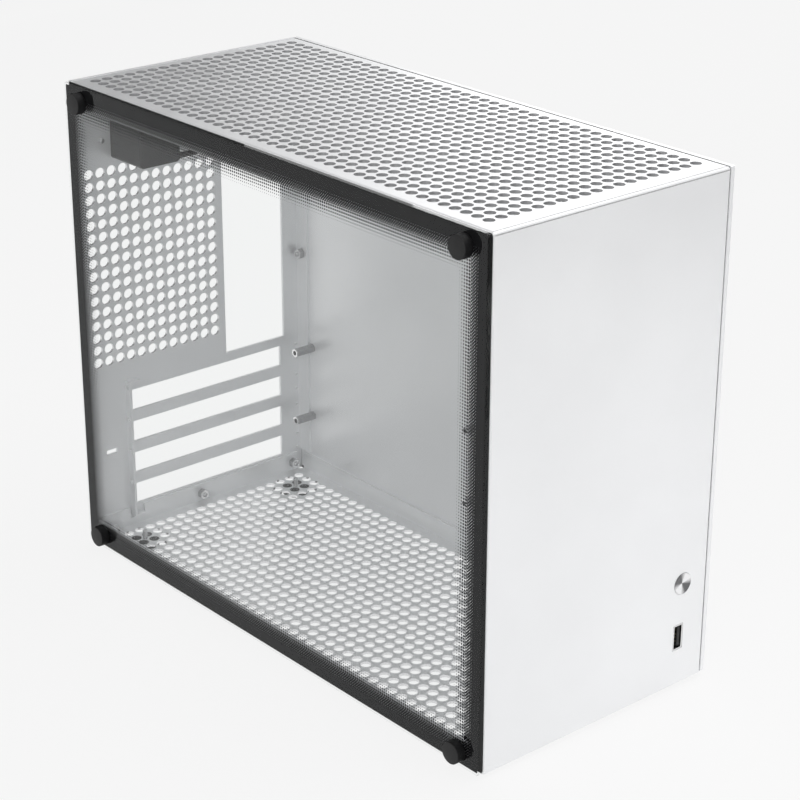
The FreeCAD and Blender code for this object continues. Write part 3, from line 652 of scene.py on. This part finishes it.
def border(bm, x, edge, inset):
    """Flat frame from near the glass's outline to the given insets along y and z."""
    outer = outline(edge)
    arc = len(outer) // 4
    y0, y1, z0, z1 = inset[0], DEPTH - inset[0], inset[1], HEIGHT - inset[1]
    corners = [(y1, z1), (y0, z1), (y0, z0), (y1, z0)]
    for n, corner in enumerate(corners):
        bend = outer[n * arc:(n + 1) * arc]
        straight = [bend[-1], outer[(n + 1) * arc % len(outer)], corners[(n + 1) % 4], corner]
        for points in (bend + [corner], straight):
            bm.faces.new([bm.verts.new(at(x, y, z)) for y, z in points])


def printed(name, bm):
    """Piece of flat black faces."""
    weld(bm)
    new_piece(name, as_mesh(name, bm), INK_AND_SHADE)


def glass_print():
    """Black border with rows of holes and dots that fade towards the middle."""
    bm = bmesh.new()
    border(bm, PRINT_X, PRINT_EDGE, PRINT_INSET)
    size = (DEPTH - 2 * PRINT_INSET[0], HEIGHT - 2 * PRINT_INSET[1])
    step = [size[n] / PRINT_CELLS[n] for n in (0, 1)]
    round_dot = [(math.cos(a), math.sin(a)) for a in angles(DOT_SIDES)]
    square_cell = [(c / max(abs(c), abs(s)) / 2, s / max(abs(c), abs(s)) / 2) for c, s in round_dot]

    def points(i, j, shape, scale):
        y, z = PRINT_INSET[0] + (i + 0.5) * step[0], PRINT_INSET[1] + (j + 0.5) * step[1]
        places = [(y + a * scale * step[0], z + b * scale * step[1]) for a, b in shape]
        return [bm.verts.new(at(PRINT_X, *p)) for p in places]

    for i in range(PRINT_CELLS[0]):
        for j in range(PRINT_CELLS[1]):
            depth = min(i, j, PRINT_CELLS[0] - 1 - i, PRINT_CELLS[1] - 1 - j)
            dot = depth - len(PRINT_HOLES)
            if dot < 0:
                inside = points(i, j, round_dot, PRINT_HOLES[depth])
                outside = points(i, j, square_cell, 1)
                for n in range(DOT_SIDES):
                    bm.faces.new([outside[n - 1], outside[n], inside[n], inside[n - 1]])
            elif dot < len(PRINT_DOTS):
                bm.faces.new(points(i, j, round_dot, PRINT_DOTS[dot]))
    printed("glass_print", bm)


def shade_band(name, x, edge, inset):
    """Black band on the inner face of a side panel, along its edges: painted shade where the sheets meet the
    panel.
    """
    bm = bmesh.new()
    border(bm, x, edge, inset)
    # Painted shade, in the print's black
    printed(name, bm)


def end_of(low, high, axis):
    """Middle of the side of a box where an axis enters it, and the box's length along the axis."""
    along = main_axis(axis)
    end = (low + high) / 2
    end[along] = low[along] if axis[along] > 0 else high[along]
    return end, (high[along] - low[along]) / MM


def thumb_screws():
    """Turned black screws, matt round their sides."""
    for number in range(1, 5):
        node = "thumb_screw_%d" % number
        end, length = end_of(*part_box(node), X_AXIS)
        profile = [(0, 0), (KNOB_R, 0), (KNOB_R, KNOB_H), (KNOB_SHANK_R, KNOB_H)]
        profile += [(KNOB_SHANK_R, length), (0, length)]
        bm = bmesh.new()
        turned(bm, end, X_AXIS, eased(profile, KNOB_EASE), TURNED_SIDES)
        piece = stand_for(node, "_turned", finished(node, bm))
        paint(piece.data, MATT, lambda polygon: abs(polygon.normal.x) < FACING)


def feet():
    """Moulded feet with a recess for the screw."""
    for number in range(1, 5):
        node = "foot_%d" % number
        end = end_of(*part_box(node), Z_AXIS)[0]
        bm = bmesh.new()
        turned(bm, end, Z_AXIS, eased(FOOT_PROFILE, FOOT_EASE), TURNED_SIDES)
        stand_for(node, "_moulded", finished(node, bm))


def button():
    """Turned button with a dished face."""
    end = end_of(*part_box("power_button"), Y_AXIS)[0]
    bm = bmesh.new()
    turned(bm, end, Y_AXIS, eased(BUTTON_PROFILE, BUTTON_EASE), BUTTON_SIDES)
    stand_for("power_button", "_spun", finished("power_button", bm), "button")


def solids_of(node):
    """Low and high corner of each separate solid of a CAD node."""
    bm = welded(node)
    seen = set()
    boxes = []
    for seed in bm.verts:
        if seed in seen:
            continue
        seen.add(seed)
        group = [seed]
        for vert in group:
            others = [edge.other_vert(vert) for edge in vert.link_edges]
            fresh = [other for other in others if other not in seen]
            seen.update(fresh)
            group += fresh
        spans = [[v.co[n] for v in group] for n in range(3)]
        boxes.append((Vector([min(s) for s in spans]), Vector([max(s) for s in spans])))
    bm.free()
    return boxes


def screw_ends(node, axis):
    """Middle of each screw's head end, and the screw's length."""
    return [end_of(low, high, axis) for low, high in solids_of(node)]


def hexagon(radius):
    """Radii of a hexagon's outline, with a corner at the first of the sides' angles."""
    sixth = math.pi / 3
    return [radius * math.cos(sixth / 2) / math.cos(a % sixth - sixth / 2) for a in angles(SCREW_SIDES)]


def thread(radius, start, end):
    """Stations of a threaded shank that runs out in a small chamfer."""
    count = int((end - THREAD_DEPTH - start) / THREAD_PITCH * THREAD_STEPS)
    stations = [(radius, start)]
    for k in range(1, count + 1):
        turn = k / THREAD_STEPS
        waves = [abs(2 * ((turn - n / SCREW_SIDES) % 1) - 1) for n in range(SCREW_SIDES)]
        stations.append(([radius - THREAD_DEPTH * w for w in waves], start + turn * THREAD_PITCH))
    return stations + [(radius - THREAD_DEPTH, end - THREAD_DEPTH), (radius - 2 * THREAD_DEPTH, end)]


def hexagon_screws(node, axis, radius, head_radius, head):
    """Threaded screws with chamfered hexagon heads."""
    sides = hexagon(head_radius)
    stations = [(head_radius * CROWN_R_SHARE, 0), (sides, head * CROWN_H_SHARE), (sides, head)]
    bm = bmesh.new()
    for end, length in screw_ends(node, axis):
        turned(bm, end, axis, stations + thread(radius, head, length), SCREW_SIDES)
    stand_for(node, "_threaded", finished(node, bm))


def cross_recess(bm, end, axis):
    """Cutter for a cross in a screw head, narrower at its bottom."""
    first = Z_AXIS
    second = axis.cross(first)
    arm = ((CROSS_HALF, CROSS_REACH), (CROSS_HALF, CROSS_HALF), (CROSS_REACH, CROSS_HALF))
    cross = []
    for c, s in ((1, 0), (0, -1), (-1, 0), (0, 1)):
        cross += [(a * c - b * s, a * s + b * c) for a, b in arm]
    rings = []
    for along, scale in ((-PAST, CROSS_TOP_SCALE), (CROSS_DEPTH, CROSS_FOOT_SCALE)):
        middle = end + axis * (along * MM)
        rings.append([middle + (first * a + second * b) * (scale * MM) for a, b in cross])
    loft(bm, *rings)


def flat_screws(node, axis, panel, thick):
    """Countersunk screws with a cross in the head, and round seats for them in their panel."""
    along = main_axis(axis)
    wide = FLAT_R + SEAT_GAP
    seat = [(wide + PAST, -PAST), (FLAT_HOLE_R, wide - FLAT_HOLE_R), (FLAT_HOLE_R, thick + PAST)]
    half = Vector([0 if n == along else SEAT_BLOCK * MM for n in range(3)])
    solid, recesses, plugs, seats = bmesh.new(), bmesh.new(), bmesh.new(), bmesh.new()
    for end, length in screw_ends(node, axis):
        turned(solid, end, axis, [(FLAT_R, 0)] + thread(M3_R, FLAT_H, length), SCREW_SIDES)
        cross_recess(recesses, end, axis)
        inner = end + axis * (thick * MM)
        low, high = [Vector([pick(a, b) for a, b in zip(end, inner)]) for pick in (min, max)]
        block(plugs, low - half, high + half)
        turned(seats, end, axis, seat, SEAT_SIDES)
    crossed = combined(finished(node, solid), finished(node + "_cross", recesses), "DIFFERENCE")
    shade(crossed)
    stand_for(node, "_threaded", crossed)
    whole = combined(node_copy(panel), finished(panel + "_plain", plugs), "UNION")
    seated = combined(whole, finished(panel + "_seats", seats), "DIFFERENCE")
    shade(seated)
    even_normals(stand_for(panel, "_seated", seated))


def bare_lit_ends(node, direction):
    """Plated posts or nuts with bare turned ends in bright steel: partly bare metal, partly a painted
    highlight against the darker plated sides.
    """
    piece = stand_for(node, "_turned", node_copy(node))
    # Partly painted highlight: faces that look along the direction take bright steel
    paint(piece.data, MATERIALS["bright_steel"], lambda polygon: polygon.normal.dot(direction) > FACING)
    soften(piece, POST_EDGE)


def inlet_lug():
    """Bare metal lug beside the block of the inlet."""
    bm = bmesh.new()
    loft(bm, *[[at(x, y, z) for x, z in LUG] for y in LUG_Y])
    piece = new_piece("inlet_lug", finished("inlet_lug", bm), MATERIALS["bright_steel"])
    soften(piece, LUG_EDGE)


def port_contacts():
    """Four contact strips on the tongue of the data port."""
    bm = bmesh.new()
    for z in CONTACT_Z:
        low = at(CONTACT_X - CONTACT_THICK, CONTACT_Y[0], z - CONTACT_WIDE / 2)
        block(bm, low, at(CONTACT_X, CONTACT_Y[1], z + CONTACT_WIDE / 2))
    new_piece("port_contacts", finished("port_contacts", bm), MATERIALS["brass"])


def dress_nodes():
    """Materials and rounded edges of the CAD nodes, with the edges of the glass black."""
    for name, node in nodes.items():
        node.data.materials.clear()
        node.data.materials.append(MATERIALS[SLOTS[name]])
    for name, width in SOFTENED.items():
        soften(nodes[name], width)
    nodes["glass_panel"].data.materials.append(INK_AND_SHADE)
    nodes["glass_panel"].modifiers["arris"].material = 1


def background(tree):
    """1 where the ray comes from the camera, a reflection or glass."""
    path = tree.nodes.new("ShaderNodeLightPath")
    first = tree.nodes.new("ShaderNodeMath")
    second = tree.nodes.new("ShaderNodeMath")
    first.operation = second.operation = "MAXIMUM"
    tree.links.new(path.outputs["Is Camera Ray"], first.inputs[0])
    tree.links.new(path.outputs["Is Glossy Ray"], first.inputs[1])
    tree.links.new(first.outputs["Value"], second.inputs[0])
    tree.links.new(path.outputs["Is Transmission Ray"], second.inputs[1])
    return second.outputs["Value"]


def make_world():
    """Even light, with a pale backdrop wherever the world itself is seen."""
    world = bpy.data.worlds.new("studio")
    bpy.context.scene.world = world
    world.use_nodes = True
    tree = world.node_tree
    seen = tree.nodes["Background"]
    seen.inputs["Color"].default_value = (BACKDROP, BACKDROP, BACKDROP, 1)
    lit = tree.nodes.new("ShaderNodeBackground")
    lit.inputs["Color"].default_value = (1, 1, 1, 1)
    lit.inputs["Strength"].default_value = WORLD_LIGHT
    mix = tree.nodes.new("ShaderNodeMixShader")
    tree.links.new(background(tree), mix.inputs[0])
    tree.links.new(lit.outputs["Background"], mix.inputs[1])
    tree.links.new(seen.outputs["Background"], mix.inputs[2])
    tree.links.new(mix.outputs["Shader"], tree.nodes["World Output"].inputs["Surface"])


def stage_sheet(name, corners, grey):
    """Matt flat sheet of the studio."""
    mesh = bpy.data.meshes.new(name)
    mesh.from_pydata(corners, [], [(0, 1, 2, 3)])
    sheet = bpy.data.objects.new(name, mesh)
    bpy.context.scene.collection.objects.link(sheet)
    material = bpy.data.materials.new(name)
    material.use_nodes = True
    matt = material.node_tree.nodes["Principled BSDF"]
    matt.inputs["Base Color"].default_value = (grey, grey, grey, 1)
    matt.inputs["Roughness"].default_value = 1.0
    matt.inputs["Specular IOR Level"].default_value = 0.0
    mesh.materials.append(material)
    return sheet, material.node_tree, matt


def make_card():
    """Grey card behind the case, which the rear of the top reflects."""
    (x0, x1), y, (z0, z1) = CARD_X, CARD_Y, CARD_Z
    corners = [(x0, y, z0), (x1, y, z0), (x1, y, z1), (x0, y, z1)]
    card = stage_sheet("card", corners, CARD_GREY)[0]
    card.visible_camera = False


def make_floor_card():
    """Grey card on the floor before the case, which the upper part of the front reflects."""
    (x0, x1), (y0, y1), z = FLOOR_CARD_X, FLOOR_CARD_Y, FLOOR_CARD_Z
    corners = [(x0, y0, z), (x1, y0, z), (x1, y1, z), (x0, y1, z)]
    card = stage_sheet("floor_card", corners, FLOOR_CARD_GREY)[0]
    card.visible_camera = False
    card.visible_shadow = False


def make_floor():
    """Pale floor that catches shadows and is mostly as bright as the backdrop."""
    corners = [(x * FLOOR_REACH, y * FLOOR_REACH, 0) for x, y in ((-1, -1), (1, -1), (1, 1), (-1, 1))]
    tree, matt = stage_sheet("floor", corners, FLOOR_GREY)[1:]
    glow = tree.nodes.new("ShaderNodeEmission")
    glow.inputs["Color"].default_value = (BACKDROP, BACKDROP, BACKDROP, 1)
    share = tree.nodes.new("ShaderNodeMath")
    share.operation = "MULTIPLY"
    share.inputs[1].default_value = FLOOR_GLOW
    tree.links.new(background(tree), share.inputs[0])
    mix = tree.nodes.new("ShaderNodeMixShader")
    tree.links.new(share.outputs["Value"], mix.inputs[0])
    tree.links.new(matt.outputs["BSDF"], mix.inputs[1])
    tree.links.new(glow.outputs["Emission"], mix.inputs[2])
    tree.links.new(mix.outputs["Shader"], tree.nodes["Material Output"].inputs["Surface"])


def lamp(name, place, target, size, power, mirrored):
    """Rectangular lamp turned to its target."""
    light = bpy.data.lights.new(name, "AREA")
    light.shape = "RECTANGLE"
    light.size, light.size_y = size
    light.energy = power
    item = bpy.data.objects.new(name, light)
    item.location = place
    item.visible_camera = False
    item.visible_glossy = mirrored
    item.rotation_euler = (Vector(target) - Vector(place)).to_track_quat("-Z", "Y").to_euler()
    bpy.context.scene.collection.objects.link(item)


def make_camera():
    """Camera turned by azimuth, elevation and roll."""
    data = bpy.data.cameras.new("camera")
    data.lens = LENS
    data.sensor_width = SENSOR
    data.sensor_fit = "HORIZONTAL"
    data.clip_end = SIGHT
    camera = bpy.data.objects.new("camera", data)
    camera.location = CAMERA_AT
    turns = ((CAMERA_AZIMUTH, "Z"), (90 - CAMERA_ELEVATION, "X"), (CAMERA_ROLL, "Z"))
    rotation = Matrix.Identity(4)
    for angle, axis in turns:
        rotation = rotation @ Matrix.Rotation(math.radians(angle), 4, axis)
    camera.rotation_euler = rotation.to_euler()
    bpy.context.scene.collection.objects.link(camera)
    bpy.context.scene.camera = camera


# Painted shade in the walls of the top's holes and its scored lines; brighter bare edges, partly painted
# light, in the floor's and rear's holes
perforated("front_top_shell", TOP_FIELD, Z_AXIS, lambda x, y: at(x, y, HEIGHT - SHEET), SHADED_EDGE, SCORES)
perforated("floor_panel", FLOOR_FIELD, Z_AXIS, lambda x, y: at(x, y, 0), BARE_LIT_EDGE)
perforated("rear_panel", REAR_FIELD, Y_AXIS, lambda x, z: at(x, DEPTH - SHEET, z), BARE_LIT_EDGE)
glass_print()
# Painted shade: black bands just inside the glass along its edges, and in the joint of the right side panel
shade_band("glass_shade_band", GLASS_SHADE_X, GLASS_SHADE_EDGE, GLASS_SHADE_INSET)
shade_band("side_shade_band", JOINT_SHADE_X, JOINT_SHADE_EDGE, JOINT_SHADE_INSET)
thumb_screws()
feet()
button()
hexagon_screws("rear_panel_screws", -Y_AXIS, M3_R, M3_HEAD_R, M3_HEAD_H)
hexagon_screws("foot_screws", Z_AXIS, M3_R, M3_HEAD_R, M3_HEAD_H)
hexagon_screws("front_io_screws", X_AXIS, PORT_SCREW_R, PORT_SCREW_HEAD_R, PORT_SCREW_HEAD_H)
flat_screws("side_panel_screws", -X_AXIS, "right_side_panel", SIDE)
flat_screws("inlet_screws", -Y_AXIS, "power_inlet_body", INLET_LIP)
port_contacts()
bare_lit_ends("motherboard_standoffs", -X_AXIS)
bare_lit_ends("side_panel_nuts", -X_AXIS)
bare_lit_ends("rear_panel_nuts", -Y_AXIS)
inlet_lug()
dress_nodes()
make_world()
make_floor()
make_card()
make_floor_card()
for name, settings in LAMPS.items():
    lamp(name, *settings)
make_camera()
bpy.context.scene.view_settings.view_transform = "Standard"
